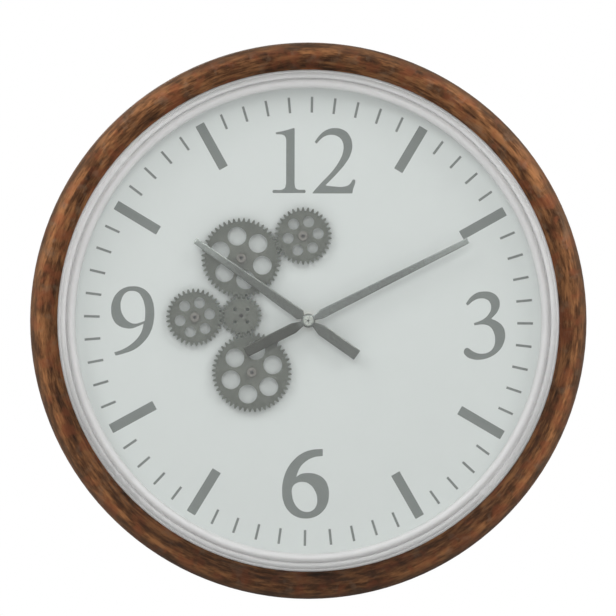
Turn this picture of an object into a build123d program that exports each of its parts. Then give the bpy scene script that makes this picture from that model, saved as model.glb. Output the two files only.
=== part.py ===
from build123d import *
import math
import os

# Round wall clock: a bullnosed wooden rim with a stepped silver ring behind its glass, and a dial on
# which five meshing gears turn. A quartz movement drives the hands and a small motor the gears.
# All sizes are in millimetres. The clock is drawn lying on its back, with x to the right, y towards
# twelve o'clock and z towards the viewer from the wall at z = 0, and is stood upright as it is written.

# Clearances
drop_in_gap = 0.6
running_gap = 0.1
fixed_gap = 0.05
end_float = 0.2

# Wooden rim
rim_radius = 260.0
rim_wall = 16.0
rim_edge_round = 9.0
crown_flat = 2.0
crown_rise = 9.0
lip_width = 9.4
lip_thickness = 5.2

# Glass, its seal and the stepped ring
glass_thickness = 3.0
seal_thickness = 0.8
seal_width = 6.0
glass_gap = 3.4
ring_wall = 1.6
ring_brim_reveal = 1.0
ring_bead_width = 8.4
ring_bead_rise = 3.4
ring_tread_width = 4.8
ring_riser = 2.8
ring_riser_slope = 1.0
ring_tread_crown = 0.9

# Dial
board_thickness = 5.0
face_thickness = 0.8

# Gears on the dial
gear_module = 1.5
large_teeth = 48
small_teeth = 34
drive_teeth = 24
gear_thickness = 3.0
gear_rise = 3.4
gear_thinning = 0.25
hub_proud = 0.6
large_hub_radius = 6.5
small_hub_radius = 6.0
large_rim_web = 4.5
large_spoke_web = 3.2
small_rim_web = 4.2
small_spoke_web = 3.8
window_count = 6
drive_hole_circle = 8.3
drive_hole_radius = 1.6
drive_hole_count = 4
drive_hub_radius = 5.5

# Where the gears stand: the drive gear's centre, and the direction from one centre to the next
drive_x = -62.9
drive_y = 4.7
upper_direction = 89.9
lower_direction = -79.4
left_direction = 182.0
top_direction = 19.7

# How far the window pattern of each gear is turned
upper_windows = 39.0
lower_windows = 22.5
left_windows = 11.0
top_windows = 10.5

# Posts that carry the idle gears
post_radius = 2.5
post_flange_radius = 5.0
post_flange_thickness = 1.2
post_wall = 0.8
post_hollow_depth = 10.0
spacer_radius = 4.4
cap_radius = 4.7
cap_height = 2.0
cap_top = 0.6
cap_chamfer = 0.4

# Hands
hand_thickness = 1.0
hand_bevel_width = 1.0
hand_bevel_depth = 0.5
minute_angle = 63.4
minute_tip_gap = 50.9
minute_tail = 66.0
minute_root_width = 8.6
minute_tip_width = 5.2
minute_tail_width = 10.0
minute_boss_radius = 6.0
minute_shoulder = 13.0
hour_angle = 305.3
hour_shorter_by = 37.5
hour_tail = 56.0
hour_root_width = 10.3
hour_tip_width = 5.6
hour_tail_width = 10.6
hour_boss_radius = 6.6
hour_shoulder = 9.5
neck_width = 4.6
tail_shoulder = 15.5
hour_hand_gap = 2.2
hand_spacing = 2.0
pipe_proud = 0.8
hand_nut_radius = 5.0
hand_nut_height = 3.2
hand_nut_hole = 1.1
hand_nut_top = 0.9
hand_nut_round = 1.2
collar_radius = 4.0
collar_height = 1.4

# Clock movement
movement_corner = 4.0
movement_wall = 1.4
gasket_thickness = 0.8
gasket_radius = 12.0
bush_wall = 0.9
bush_proud = 1.2
hour_pipe_wall = 0.8
minute_pipe_radius = 1.6
washer_radius = 6.4
washer_thickness = 0.8
nut_flats = 10.0
nut_thickness = 2.5
works_centres = 11.5
works_teeth = 12
motion_teeth = 36
hour_teeth = 48
works_thinning = 0.1
works_wheel_thickness = 1.6
works_step = 0.8
works_room = 1.0
works_pin_radius = 0.8
motion_direction = 150.0
knob_direction = 60.0
knob_arbor_radius = 1.5
knob_radius = 6.0
knob_height = 3.5
knob_gap = 0.4
knob_flutes = 12
knob_flute_radius = 0.7
wall_gap = 3.4
circuit_width = 13.0
circuit_length = 28.0
circuit_thickness = 1.2
circuit_post_height = 2.0
circuit_post_radius = 1.5
coil_radius = 3.2
coil_flange_radius = 4.0
coil_length = 20.0
coil_flange = 1.0

# Size AA cells and the contacts at their ends
cell_radius = 7.1
cell_length = 49.2
cell_nub_radius = 2.7
cell_nub_length = 1.2
cell_edge_round = 0.6
cell_room = 0.2
contact_thickness = 0.5
contact_width = 9.0
contact_bow = 0.8

# Motor drive of the gears
drive_wall = 1.6
drive_corner = 3.0
gearbox_width = 44.0
gearbox_right = 16.1
gearbox_drop = 5.0
bay_margin = 4.5
output_teeth = 36
idler_teeth = 36
pinion_teeth = 12
output_module = 0.6
idler_module = 0.5
idler_direction = -130.0
motor_direction = -120.0
drive_thinning = 0.1
drive_wheel_thickness = 2.6
drive_wheel_gap = 1.0
drive_shaft_radius = 2.0
drive_bush_wall = 1.4
drive_bush_flange_width = 1.5
drive_bush_flange = 1.0
idler_pin_radius = 1.0
motor_radius = 7.5
motor_length = 8.0
motor_shaft_radius = 0.75
motor_cup_height = 5.0
motor_cup_wall = 1.2
boss_wall = 1.6
ear_length = 9.0
ear_width = 10.0
switch_travel = 4.0
switch_width = 7.0
switch_flange_length = 11.0
switch_flange_thickness = 1.1
switch_tongue_width = 3.0
switch_tongue_length = 4.5
switch_tongue_proud = 1.4
switch_body_height = 3.6
switch_body_wall = 1.0
switch_inset = 7.0
switch_rise = 12.0

# Fasteners
screw_shank_radius = 1.4
screw_head_radius = 2.9
screw_head_height = 1.8
cover_screw_radius = 1.0
cover_screw_head_radius = 1.9
cover_screw_head = 1.2
cover_screw_length = 7.0
ear_screw_length = 5.2
clip_screw_length = 11.0
hanger_screw_length = 13.0
screw_head_round_share = 0.6
screw_slot_width_share = 0.4
screw_slot_depth_share = 0.4

# Clips that hold the dial board in the rim, and the hanger plate
clip_count = 6
clip_width = 14.0
clip_leg = 13.0
clip_foot = 12.0
clip_thickness = 1.5
hanger_width = 46.0
hanger_height = 29.0
hanger_thickness = 2.0
hanger_recess = 0.2
hanger_corner = 3.0
hanger_margin = 5.0
hanger_screw_spacing = 30.0
keyhole_entry_radius = 5.5
keyhole_slot_radius = 2.6
keyhole_rise = 8.5
keyhole_foot = 8.0

# Shape of the teeth: their depth below the pitch circle in modules, and the pressure angle
dedendum = 1.25
pressure_angle = math.radians(20)
full_turn = 2 * math.pi

# The movement's size, from its cell and from the hour wheel beside the battery bay
works_module = works_centres * 2 / (works_teeth + motion_teeth)
hour_module = works_centres * 2 / (works_teeth + hour_teeth)
hour_wheel_tip = hour_module * (hour_teeth / 2 + 1)
cell_bay = 2 * cell_radius + 2 * cell_room
cell_half = (cell_length + cell_nub_length) / 2
contact_reach = contact_thickness + contact_bow
movement_width = 2 * (cell_half + contact_reach + movement_wall)
movement_height = 2 * (hour_wheel_tip + works_room + cell_bay + 2 * movement_wall)
movement_depth = cell_bay + movement_wall

# Heights above the wall, from the deeper of the movement and the motor drive
gear_stack = 2 * drive_wheel_thickness + 3 * drive_wheel_gap
movement_stack = knob_height + knob_gap + movement_depth + gasket_thickness
drive_stack = 2 * drive_wall + gear_stack + motor_length + switch_tongue_proud
board_rear_z = wall_gap + max(movement_stack, drive_stack)
board_front_z = board_rear_z + board_thickness
face_z = board_front_z + face_thickness
movement_front_z = board_rear_z - gasket_thickness
movement_rear_z = movement_front_z - movement_depth
gear_rear_z = face_z + gear_rise
gear_front_z = gear_rear_z + gear_thickness
hub_rear_z = gear_rear_z - hub_proud
hub_front_z = gear_front_z + hub_proud
drive_hub_z = face_z + drive_bush_flange + end_float
cap_front_z = hub_front_z + end_float + cap_height
hour_hand_z = cap_front_z + hour_hand_gap
minute_hand_z = hour_hand_z + hand_thickness + hand_spacing
hand_nut_z = minute_hand_z + hand_thickness
glass_rear_z = hand_nut_z + hand_nut_height + glass_gap
glass_front_z = glass_rear_z + glass_thickness
lip_rear_z = glass_front_z + seal_thickness
lip_front_z = lip_rear_z + lip_thickness
rim_depth = lip_front_z + crown_rise

# Radii of the pieces that drop into the rim from behind, and of the ring and hands inside them
rabbet_radius = rim_radius - rim_wall
drop_in_radius = rabbet_radius - drop_in_gap
lip_radius = rabbet_radius - lip_width
ring_brim_radius = lip_radius - ring_brim_reveal
ring_step_radius = ring_brim_radius - ring_tread_width - 2 * ring_riser_slope
ring_foot_radius = ring_step_radius - ring_bead_width
minute_length = ring_foot_radius - minute_tip_gap
hour_length = minute_length - hour_shorter_by

# Radii of the pipes, bushes and posts that run in each other
hour_pipe_radius = minute_pipe_radius + running_gap + hour_pipe_wall
bush_radius = hour_pipe_radius + running_gap + bush_wall
drive_bush_radius = drive_shaft_radius + running_gap + drive_bush_wall
drive_bush_flange_radius = drive_bush_radius + drive_bush_flange_width
post_hollow_radius = post_radius - post_wall


def polar(radius, angle):
    """Point at a radius and an angle in radians."""
    return (radius * math.cos(angle), radius * math.sin(angle))


def stepped_off(start, distance, direction):
    """Point at a distance from another, in a direction in degrees."""
    across, up = polar(distance, math.radians(direction))
    return (start[0] + across, start[1] + up)


def ring(outer, inner, low, high, centre=(0, 0)):
    """Flat-ended tube between two heights."""
    face = Circle(outer) - Circle(inner)
    return extrude(Pos(centre[0], centre[1], low) * face, high - low)


def rod(radius, low, high, centre=(0, 0)):
    """Flat-ended round bar between two heights."""
    return extrude(Pos(centre[0], centre[1], low) * Circle(radius), high - low)


def block(x_range, y_range, z_range):
    """Box between two corners."""
    sizes = [high - low for low, high in (x_range, y_range, z_range)]
    corner = Pos(x_range[0], y_range[0], z_range[0])
    return corner * Box(*sizes, align=(Align.MIN, Align.MIN, Align.MIN))


def turned(lines):
    """Solid turned about the dial's axis from a closed outline of radius and height."""
    return revolve(make_face(Plane.XZ * lines), Axis.Z)


def slab(face, low, high):
    """Flat outline given a thickness between two heights."""
    return extrude(Pos(0, 0, low) * face, high - low)


def involute(angle):
    return math.tan(angle) - angle


def gear_face(module, teeth, thinning, curved, holes):
    """Outline of a gear with one tooth on the x axis, and round holes given as x, y and radius."""
    pitch_radius = module * teeth / 2
    base_radius = pitch_radius * math.cos(pressure_angle)
    tip_radius = pitch_radius + module
    root_radius = pitch_radius - dedendum * module
    flank_radius = max(root_radius, base_radius)
    at_pitch = (math.pi * module / 2 - thinning) / (2 * pitch_radius)

    def half_angle(radius):
        flank = math.acos(base_radius / radius)
        return at_pitch + involute(pressure_angle) - involute(flank)

    def flank_points(axis, side):
        radii = (flank_radius, (flank_radius + tip_radius) / 2, tip_radius)
        return [polar(radius, axis + side * half_angle(radius)) for radius in radii]

    edges = []
    root_half = half_angle(flank_radius)
    for tooth in range(teeth):
        axis = full_turn * tooth / teeth
        next_axis = axis + full_turn / teeth
        rising = flank_points(axis, -1)
        falling = flank_points(axis, 1)[::-1]
        for points in (rising, falling):
            edges.append(ThreePointArc(*points) if curved else Line(points[0], points[-1]))
        edges.append(Line(rising[-1], falling[0]))
        root_start = polar(root_radius, axis + root_half)
        root_end = polar(root_radius, next_axis - root_half)
        edges.append(Line(root_start, root_end))
        if flank_radius > root_radius:
            edges.append(Line(falling[-1], root_start))
            edges.append(Line(root_end, flank_points(next_axis, -1)[0]))
    outline = Wire(edges)
    inner = [Wire.make_circle(radius, Plane((x, y, 0))) for x, y, radius in holes]
    return Face(outline, inner)


def mesh_turn(mate_turn, mate_teeth, direction, teeth):
    """Turn in degrees that sets a gear's gap on the tooth of a mate, seen from it in a direction."""
    mate_phase = (direction - mate_turn) * mate_teeth / 360
    return direction + 180 - (0.5 - mate_phase) * 360 / teeth


def nearest_tooth(turn, teeth, windows):
    """The same mesh, moved on by whole teeth until the window pattern lies nearest to an angle."""
    spacing = 360 / window_count
    half = spacing / 2
    turns = [turn + 360 * tooth / teeth for tooth in range(teeth)]
    return min(turns, key=lambda t: abs((t - windows + half) % spacing - half))


def around(circle, count, radius, start=0.0):
    """Holes evenly spaced round a circle, as x, y and radius."""
    angles = [start + full_turn * k / count for k in range(count)]
    return [(*polar(circle, angle), radius) for angle in angles]


def placed(shape, centre, turn, z=0.0):
    """A piece turned about its own axis in degrees and stood at a centre."""
    return Pos(centre[0], centre[1], z) * Rot(0, 0, turn) * shape


def mesh_distance(module, teeth, mate_teeth):
    return module * (teeth + mate_teeth) / 2


# Gear centres, from the true mesh distances
large_reach = mesh_distance(gear_module, drive_teeth, large_teeth)
left_reach = mesh_distance(gear_module, drive_teeth, small_teeth)
top_reach = mesh_distance(gear_module, large_teeth, small_teeth)
drive_centre = (drive_x, drive_y)
upper_centre = stepped_off(drive_centre, large_reach, upper_direction)
lower_centre = stepped_off(drive_centre, large_reach, lower_direction)
left_centre = stepped_off(drive_centre, left_reach, left_direction)
top_centre = stepped_off(upper_centre, top_reach, top_direction)
post_centres = {
    "upper": upper_centre,
    "lower": lower_centre,
    "left": left_centre,
    "top": top_centre,
}

# Turns that bring the gears into mesh, starting from the drive gear
drive_turn = 0.0
upper_turn = nearest_tooth(
    mesh_turn(drive_turn, drive_teeth, upper_direction, large_teeth), large_teeth, upper_windows
)
lower_turn = nearest_tooth(
    mesh_turn(drive_turn, drive_teeth, lower_direction, large_teeth), large_teeth, lower_windows
)
left_turn = nearest_tooth(
    mesh_turn(drive_turn, drive_teeth, left_direction, small_teeth), small_teeth, left_windows
)
top_turn = nearest_tooth(
    mesh_turn(upper_turn, large_teeth, top_direction, small_teeth), small_teeth, top_windows
)

# Places behind the dial
motion_centre = stepped_off((0, 0), works_centres, motion_direction)
knob_centre = stepped_off(motion_centre, works_centres, knob_direction)
output_reach = mesh_distance(output_module, output_teeth, pinion_teeth)
idler_reach = mesh_distance(idler_module, idler_teeth, pinion_teeth)
idler_centre = stepped_off(drive_centre, output_reach, idler_direction)
motor_centre = stepped_off(idler_centre, idler_reach, motor_direction)
hanger_top = rim_radius - hanger_margin
hanger_low = hanger_top - hanger_height
keyhole_y = hanger_low + keyhole_foot
hanger_screw_y = (rabbet_radius + hanger_top) / 2
hanger_screw_places = [(side * hanger_screw_spacing / 2, hanger_screw_y) for side in (-1, 1)]
clip_angles = [360 * k / clip_count for k in range(clip_count)]
clip_wall_x = math.sqrt(rabbet_radius**2 - (clip_width / 2) ** 2) - fixed_gap
clip_screw_z = board_rear_z - clip_leg / 2 - clip_thickness / 2


def wood_frame():
    """Turned rim with a bullnose crown, a lip in front of the glass and a rabbet open to the rear."""
    corner = (rim_radius - rim_edge_round, rim_depth - rim_edge_round)
    across, up = polar(rim_edge_round, math.pi / 4)
    shoulder = (corner[0] + across, corner[1] + up)
    crown = (corner[0] - crown_flat, rim_depth)
    outline = [
        Line((rabbet_radius, 0), (rim_radius, 0)),
        Line((rim_radius, 0), (rim_radius, corner[1])),
        ThreePointArc((rim_radius, corner[1]), shoulder, (corner[0], rim_depth)),
        Line((corner[0], rim_depth), crown),
        TangentArc(crown, (lip_radius, lip_front_z), tangent=(-1, 0)),
        Line((lip_radius, lip_front_z), (lip_radius, lip_rear_z)),
        Line((lip_radius, lip_rear_z), (rabbet_radius, lip_rear_z)),
        Line((rabbet_radius, lip_rear_z), (rabbet_radius, 0)),
    ]
    rim = turned(Curve() + outline)
    pocket = RectangleRounded(
        hanger_width + 2 * fixed_gap, hanger_height + 2 * fixed_gap, hanger_corner + fixed_gap
    )
    pocket_y = hanger_top - hanger_height / 2
    rim -= extrude(Pos(0, pocket_y, 0) * pocket, hanger_thickness + hanger_recess)
    for place in hanger_screw_places:
        rim -= rod(screw_shank_radius + fixed_gap, 0, hanger_recess + hanger_screw_length, place)
    pilot = Pos(clip_wall_x, 0, clip_screw_z) * Rot(0, 90, 0) * Cylinder(
        screw_shank_radius + fixed_gap,
        clip_screw_length,
        align=(Align.CENTER, Align.CENTER, Align.MIN),
    )
    for angle in clip_angles:
        rim -= Rot(0, 0, angle) * pilot
    return rim


def glass_seal():
    return ring(drop_in_radius, drop_in_radius - seal_width, glass_front_z, lip_rear_z)


def front_glass():
    return rod(drop_in_radius, glass_rear_z, glass_front_z)


def stepped_ring():
    """Hollow moulding between dial and glass: a bead over the dial's edge, a riser and a crowned tread."""
    step_z = glass_rear_z - 2 * ring_riser
    tread_z = step_z + ring_riser
    tread_inner = (ring_step_radius + ring_riser_slope, tread_z)
    tread_outer = (tread_inner[0] + ring_tread_width, tread_z)
    tread_crest = (tread_inner[0] + ring_tread_width / 2, tread_z + ring_tread_crown)
    brim = (ring_brim_radius, glass_rear_z)
    groove = (ring_step_radius, step_z)
    crest = (ring_step_radius - ring_bead_width / 2, step_z + ring_bead_rise)
    bead_foot = (ring_foot_radius, step_z)
    outline = [
        Polyline((drop_in_radius, face_z), (drop_in_radius, glass_rear_z), brim, tread_outer),
        ThreePointArc(tread_outer, tread_crest, tread_inner),
        Line(tread_inner, groove),
        ThreePointArc(groove, crest, bead_foot),
        Line(bead_foot, (ring_foot_radius, face_z)),
        Line((ring_foot_radius, face_z), (drop_in_radius, face_z)),
    ]
    solid_section = make_face(Curve() + outline)
    hollow = offset(solid_section, -ring_wall)
    mouth_low = ring_foot_radius + ring_wall
    mouth_high = drop_in_radius - ring_wall
    mouth = Pos((mouth_low + mouth_high) / 2, face_z + ring_wall) * Rectangle(
        mouth_high - mouth_low, 2 * ring_wall
    )
    section = solid_section - hollow - mouth
    return revolve(Plane.XZ * section, Axis.Z)


def dial_sheet(low, high):
    """Disc with the holes for the posts, the drive bush and the movement's bush."""
    sheet = rod(drop_in_radius, low, high)
    for centre in post_centres.values():
        sheet -= rod(post_radius + fixed_gap, low, high, centre)
    sheet -= rod(drive_bush_radius + fixed_gap, low, high, drive_centre)
    return sheet - rod(bush_radius + fixed_gap, low, high)


def dial_board():
    """Fibreboard disc behind the printed face, with pilot holes for the drive's screws."""
    board = dial_sheet(board_rear_z, board_front_z)
    for centre in ear_places():
        top = board_rear_z + ear_screw_length - drive_wall
        board -= rod(screw_shank_radius + fixed_gap, board_rear_z, top, centre)
    return board


def clip():
    """Bent bracket: a leg screwed to the rim's inner wall and a foot on the back of the board."""
    half = clip_width / 2
    wall_x = (clip_wall_x - clip_thickness, clip_wall_x)
    leg = block(wall_x, (-half, half), (board_rear_z - clip_leg, board_rear_z))
    foot_x = (clip_wall_x - clip_foot, clip_wall_x)
    foot = block(foot_x, (-half, half), (board_rear_z - clip_thickness, board_rear_z))
    hole = Pos(clip_wall_x, 0, clip_screw_z) * Rot(0, 90, 0) * Cylinder(
        screw_shank_radius + fixed_gap, 4 * clip_thickness
    )
    bent = leg + foot
    bend = (wall_x[0], 0, board_rear_z - clip_thickness)
    inside = bent.edges().filter_by(Axis.Y).sort_by_distance(bend)[0]
    return fillet(inside, clip_thickness / 2) - hole


def slot_cutter(head_radius, head_height):
    """Box that cuts a driver slot into a head whose top is at z = 0."""
    width = head_height * screw_slot_width_share
    depth = head_height * screw_slot_depth_share
    return Box(2 * head_radius, width, 2 * depth)


def screw(shank_radius, length, head_radius, head_height):
    """Pan-head screw along +z, with its head's underside at z = 0 and the head below it."""
    head = Pos(0, 0, -head_height) * Cylinder(
        head_radius, head_height, align=(Align.CENTER, Align.CENTER, Align.MIN)
    )
    head = fillet(head.edges().sort_by(Axis.Z)[0], head_height * screw_head_round_share)
    slot = Pos(0, 0, -head_height) * slot_cutter(head_radius, head_height)
    shank = Cylinder(shank_radius, length, align=(Align.CENTER, Align.CENTER, Align.MIN))
    return head - slot + shank


def clip_screw():
    body = screw(screw_shank_radius, clip_screw_length, screw_head_radius, screw_head_height)
    return Pos(clip_wall_x - clip_thickness, 0, clip_screw_z) * Rot(0, 90, 0) * body


def hanger_plate():
    """Keyhole plate let into the rim at twelve o'clock, its lower half over the open back."""
    plate = RectangleRounded(hanger_width, hanger_height, hanger_corner)
    plate = Pos(0, hanger_top - hanger_height / 2) * plate
    plate -= Pos(0, keyhole_y) * Circle(keyhole_entry_radius)
    slot = Pos(0, keyhole_y + keyhole_rise / 2) * Rectangle(2 * keyhole_slot_radius, keyhole_rise)
    plate -= slot + Pos(0, keyhole_y + keyhole_rise) * Circle(keyhole_slot_radius)
    body = extrude(Pos(0, 0, hanger_recess) * plate, hanger_thickness)
    for place in hanger_screw_places:
        sink = Cone(
            screw_head_radius + fixed_gap,
            screw_shank_radius + fixed_gap,
            hanger_thickness,
            align=(Align.CENTER, Align.CENTER, Align.MIN),
        )
        body -= Pos(*place, hanger_recess) * sink
    return body


def hanger_screw():
    """Countersunk screw flush with the hanger plate."""
    head = Cone(
        screw_head_radius,
        screw_shank_radius,
        hanger_thickness,
        align=(Align.CENTER, Align.CENTER, Align.MIN),
    )
    shank = Cylinder(
        screw_shank_radius, hanger_screw_length, align=(Align.CENTER, Align.CENTER, Align.MIN)
    )
    slot = slot_cutter(screw_head_radius, hanger_thickness)
    return Pos(0, 0, hanger_recess) * (head + shank - slot)


def idle_gear(teeth, hub_radius, rim_web, spoke_web):
    """Toothed disc with round windows and a hub that stands a little proud on both sides."""
    bore = post_radius + running_gap
    window_edge = gear_module * (teeth / 2 - dedendum) - rim_web
    spread = math.sin(math.pi / window_count)
    window_circle = (window_edge + spoke_web / 2) / (1 + spread)
    window_radius = window_circle * spread - spoke_web / 2
    holes = around(window_circle, window_count, window_radius) + [(0, 0, bore)]
    face = gear_face(gear_module, teeth, gear_thinning, True, holes)
    disc = slab(face, gear_rear_z, gear_front_z)
    return disc + ring(hub_radius, bore, hub_rear_z, hub_front_z)


def drive_gear():
    """Pinion of the dial train, fixed to the motor drive's shaft, with a hub down to the dial."""
    bore = drive_shaft_radius + fixed_gap
    first = math.pi / drive_hole_count
    holes = around(drive_hole_circle, drive_hole_count, drive_hole_radius, first) + [(0, 0, bore)]
    face = gear_face(gear_module, drive_teeth, gear_thinning, True, holes)
    disc = slab(face, gear_rear_z, gear_front_z)
    return disc + ring(drive_hub_radius, bore, drive_hub_z, hub_front_z)


def gear_post():
    """Pin put in from behind, its flange on the board's back and its front end hollow."""
    end = cap_front_z - cap_top
    pin = rod(post_radius, board_rear_z, end)
    flange = rod(post_flange_radius, board_rear_z - post_flange_thickness, board_rear_z)
    return pin + flange - rod(post_hollow_radius, end - post_hollow_depth, end)


def post_spacer():
    return ring(spacer_radius, post_radius + fixed_gap, face_z, hub_rear_z - end_float)


def post_cap():
    """Push-on cap that keeps a gear on its post."""
    cap_rear = hub_front_z + end_float
    wall = ring(cap_radius, post_radius + fixed_gap, cap_rear, cap_front_z - cap_top)
    top = ring(cap_radius, post_hollow_radius, cap_front_z - cap_top, cap_front_z)
    cap = wall + top
    edge = cap.edges().filter_by(GeomType.CIRCLE).sort_by(Axis.Z)[-2:]
    outer = edge.sort_by(SortBy.RADIUS)[-1]
    return chamfer(outer, cap_chamfer)


def hand(length, shoulder, root_width, tip_width, tail, tail_width, boss_radius, bore):
    """Bevelled hand towards twelve o'clock: a tapered arm, a round boss and a square-ended tail."""
    neck = neck_width / 2
    right = [
        (neck, boss_radius),
        (root_width / 2, shoulder),
        (tip_width / 2, length),
    ]
    low = [
        (tail_width / 2, -tail),
        (tail_width / 2, -tail_shoulder),
        (neck, -boss_radius),
    ]
    half = low + right
    mirrored = [(-x, y) for x, y in reversed(half)]
    plate = make_face(Polyline(*half, *mirrored, close=True)) + Circle(boss_radius) - Circle(bore)
    blank = extrude(plate, hand_thickness)
    front = blank.faces().sort_by(Axis.Z)[-1]
    return chamfer(front.outer_wire().edges(), hand_bevel_width, hand_bevel_depth, reference=front)


def minute_hand():
    plate = hand(
        minute_length,
        minute_shoulder,
        minute_root_width,
        minute_tip_width,
        minute_tail,
        minute_tail_width,
        minute_boss_radius,
        minute_pipe_radius + fixed_gap,
    )
    return placed(plate, (0, 0), -minute_angle, minute_hand_z)


def hour_hand():
    """Hour hand with the collar that grips the hour pipe."""
    bore = hour_pipe_radius + fixed_gap
    plate = hand(
        hour_length,
        hour_shoulder,
        hour_root_width,
        hour_tip_width,
        hour_tail,
        hour_tail_width,
        hour_boss_radius,
        bore,
    )
    collar = ring(collar_radius, bore, -collar_height, 0)
    return placed(plate + collar, (0, 0), -hour_angle, hour_hand_z)


def hand_nut():
    """Domed nut on the end of the minute pipe, with a small hole in its top."""
    high = hand_nut_z + hand_nut_height
    body = rod(hand_nut_radius, hand_nut_z, high)
    body = fillet(body.edges().sort_by(Axis.Z)[-1], hand_nut_round)
    body -= rod(minute_pipe_radius + fixed_gap, hand_nut_z, high - hand_nut_top)
    return body - rod(hand_nut_hole, hand_nut_z, high)


# Heights inside the movement
movement_split_z = (movement_rear_z + movement_front_z) / 2
movement_floor_z = movement_front_z - movement_wall
movement_back_z = movement_rear_z + movement_wall
hour_wheel_z = movement_floor_z - end_float - works_step - works_wheel_thickness
motion_wheel_z = hour_wheel_z - works_step - works_wheel_thickness
bay_low = movement_wall - movement_height / 2
bay_high = bay_low + cell_bay
bay_middle = (bay_low + bay_high) / 2
cell_z = movement_floor_z - cell_room - cell_radius
circuit_z = movement_back_z + circuit_post_height
bush_end_z = face_z + washer_thickness + nut_thickness + bush_proud
hour_pipe_end_z = hour_hand_z + hand_thickness + pipe_proud
minute_pipe_end_z = hand_nut_z + hand_nut_height - hand_nut_top - end_float


def movement_tray(low, high, floor_low, floor_high):
    """Half of the movement's case: a rounded tray with the wall of the battery bay."""
    outside = RectangleRounded(movement_width, movement_height, movement_corner)
    inner_width = movement_width - 2 * movement_wall
    inner_height = movement_height - 2 * movement_wall
    inside = RectangleRounded(inner_width, inner_height, movement_corner - movement_wall)
    walls = slab(outside - inside, low, high)
    floor = slab(outside, floor_low, floor_high)
    half = inner_width / 2 + movement_wall / 2
    partition = block((-half, half), (bay_high, bay_high + movement_wall), (low, high))
    return walls + floor + partition


def movement_front_case():
    """Front half, with the bush that goes through the dial and the pins of the motion work."""
    tray = movement_tray(movement_split_z, movement_front_z, movement_floor_z, movement_front_z)
    tray += rod(bush_radius, movement_front_z, bush_end_z)
    tray += rod(works_pin_radius, motion_wheel_z - works_step, movement_floor_z, motion_centre)
    stop_z = motion_wheel_z + works_wheel_thickness + end_float
    tray += rod(knob_arbor_radius, stop_z, movement_floor_z, knob_centre)
    return tray - rod(hour_pipe_radius + running_gap, movement_floor_z, bush_end_z)


def movement_rear_case():
    """Rear half, open over the battery, with the pivot of the minute arbor and the knob's hole."""
    tray = movement_tray(movement_rear_z, movement_split_z, movement_rear_z, movement_back_z)
    half = movement_width / 2 - movement_wall
    tray -= block((-half, half), (bay_low, bay_high), (movement_rear_z, movement_back_z))
    boss_top = motion_wheel_z - end_float
    tray += rod(works_pin_radius + boss_wall, movement_back_z, boss_top)
    tray -= rod(works_pin_radius + running_gap, movement_back_z, boss_top)
    for place in circuit_posts():
        tray += rod(circuit_post_radius, movement_back_z, circuit_z, place)
    arbor_hole = knob_arbor_radius + running_gap
    return tray - rod(arbor_hole, movement_rear_z, movement_back_z, knob_centre)


def circuit_middle():
    """Centre of the circuit board, in the movement's right side above the battery bay."""
    right = movement_width / 2 - movement_wall - end_float
    top = movement_height / 2 - movement_wall - movement_corner
    return (right - circuit_width / 2, top - circuit_length / 2)


def circuit_posts():
    x, y = circuit_middle()
    reach = circuit_length / 2 - 2 * circuit_post_radius
    return [(x, y - reach), (x, y + reach)]


def circuit_board():
    x, y = circuit_middle()
    plate = Rectangle(circuit_width, circuit_length)
    return extrude(Pos(x, y, circuit_z) * plate, circuit_thickness)


def step_motor_coil():
    """Wound bobbin of the step motor, lying on the circuit board."""
    x, y = circuit_middle()
    z = circuit_z + circuit_thickness + coil_flange_radius
    wound = Cylinder(coil_radius, coil_length)
    cheek = Cylinder(coil_flange_radius, coil_flange)
    reach = coil_length / 2 - coil_flange / 2
    bobbin = wound + Pos(0, 0, reach) * cheek + Pos(0, 0, -reach) * cheek
    return Pos(x, y, z) * Rot(90, 0, 0) * bobbin


def movement_gasket():
    return ring(gasket_radius, bush_radius + fixed_gap, movement_front_z, board_rear_z)


def movement_washer():
    return ring(washer_radius, bush_radius + fixed_gap, face_z, face_z + washer_thickness)


def movement_nut():
    """Hexagon nut that pulls the movement against the dial board."""
    low = face_z + washer_thickness
    hexagon = RegularPolygon(nut_flats / 2, 6, major_radius=False) - Circle(bush_radius + fixed_gap)
    return extrude(Pos(0, 0, low) * hexagon, nut_thickness)


def works_gear(module, teeth, bore, low, high):
    """Small straight-flanked gear of the motion work between two heights."""
    face = gear_face(module, teeth, works_thinning, False, [(0, 0, bore)] if bore else [])
    return slab(face, low, high)


def minute_arbor():
    """Cannon pinion with the pipe that carries the minute hand and a pivot behind."""
    low = motion_wheel_z
    high = low + works_wheel_thickness
    pinion = works_gear(works_module, works_teeth, 0, low, high)
    pipe = rod(minute_pipe_radius, high, minute_pipe_end_z)
    pivot = rod(works_pin_radius, movement_back_z + end_float, low)
    return pinion + pipe + pivot


def hour_wheel():
    """Hour wheel with the pipe that carries the hour hand."""
    bore = minute_pipe_radius + running_gap
    top = hour_wheel_z + works_wheel_thickness
    wheel = works_gear(hour_module, hour_teeth, bore, hour_wheel_z, top)
    shoulder_end = movement_floor_z - end_float
    shoulder = ring(bush_radius, bore, hour_wheel_z, shoulder_end)
    pipe = ring(hour_pipe_radius, bore, shoulder_end, hour_pipe_end_z)
    return wheel + shoulder + pipe


def motion_wheel():
    """Wheel and pinion that turn the hour wheel once for twelve turns of the minute arbor."""
    bore = works_pin_radius + running_gap
    top = motion_wheel_z + works_wheel_thickness
    wheel = works_gear(works_module, motion_teeth, bore, motion_wheel_z, top)
    pinion = works_gear(hour_module, works_teeth, bore, top, movement_floor_z - end_float)
    wheel = Rot(0, 0, mesh_turn(0, works_teeth, motion_direction, motion_teeth)) * wheel
    pinion = Rot(0, 0, mesh_turn(0, hour_teeth, motion_direction, works_teeth)) * pinion
    return placed(wheel + pinion, motion_centre, 0)


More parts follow.
